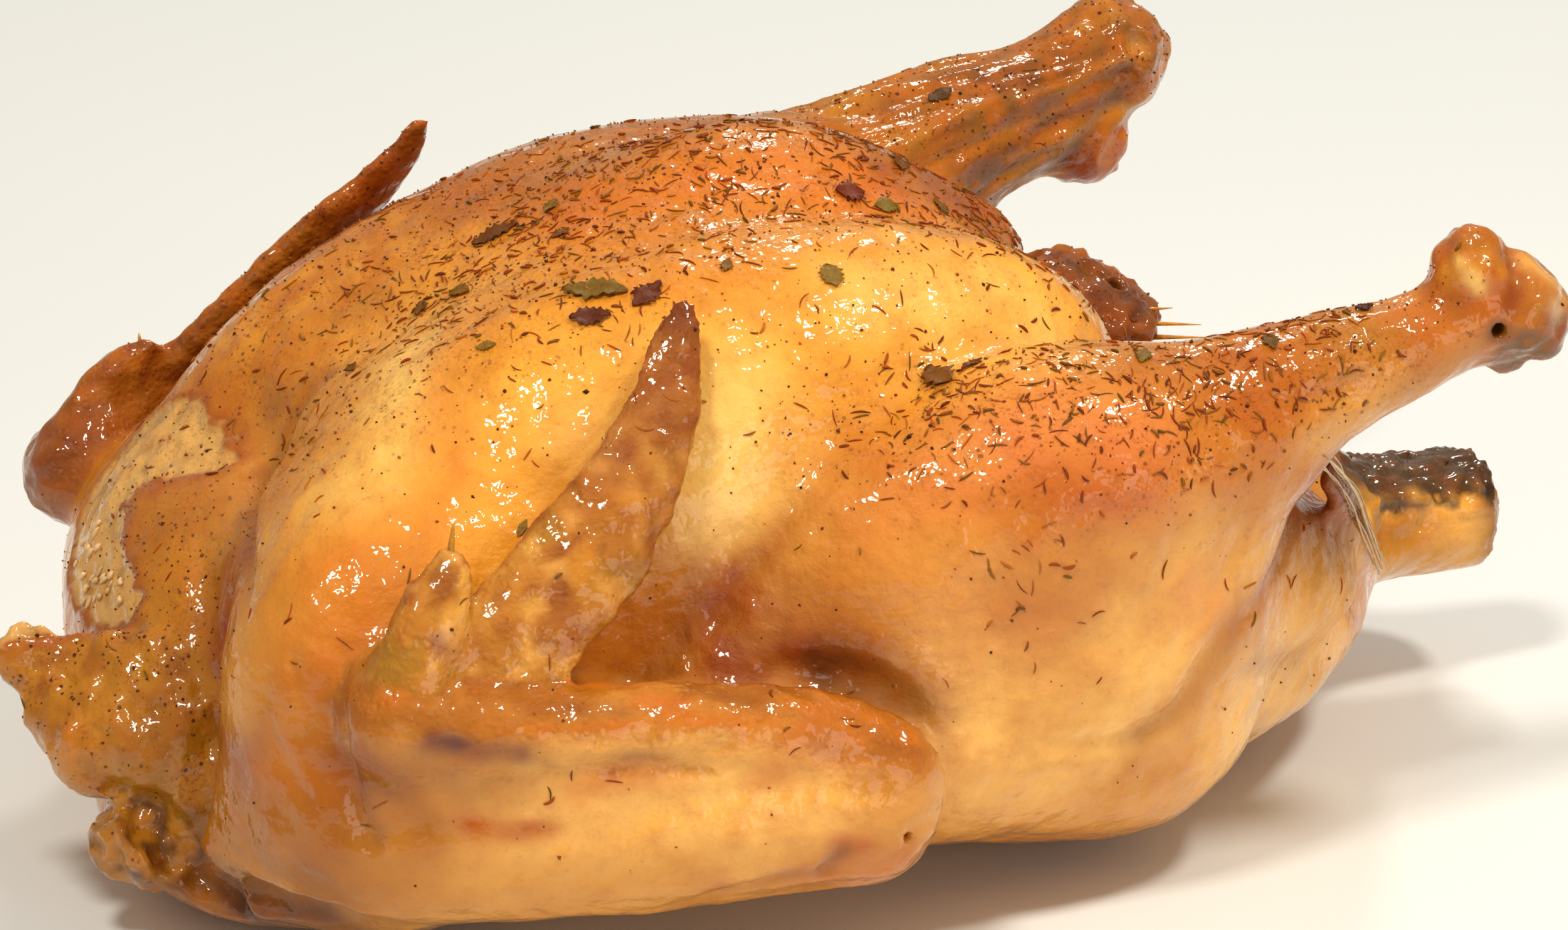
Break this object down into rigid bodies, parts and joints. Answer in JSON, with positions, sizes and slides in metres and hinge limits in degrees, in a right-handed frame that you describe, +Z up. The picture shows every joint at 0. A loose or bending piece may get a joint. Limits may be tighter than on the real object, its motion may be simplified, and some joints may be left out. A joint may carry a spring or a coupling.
{
  "type": "roast turkey",
  "caption": "Whole roast turkey lying breast up, legs out and wings folded back, with browned glossy skin and herbs; rests on a flat underside",
  "frame": {"origin": "on the table, under the middle of the bird's length and width", "axes": "+X from the neck to the tail, +Y to the bird's left flank, +Z up from the back to the breast"},
  "size_m": [0.4034, 0.277, 0.1663],
  "materials": {
    "roast_skin": "oily golden roasted skin, browned in patches"
  },
  "bodies": {
    "root": {"turkey": "roast_skin"}
  },
  "joints": []
}
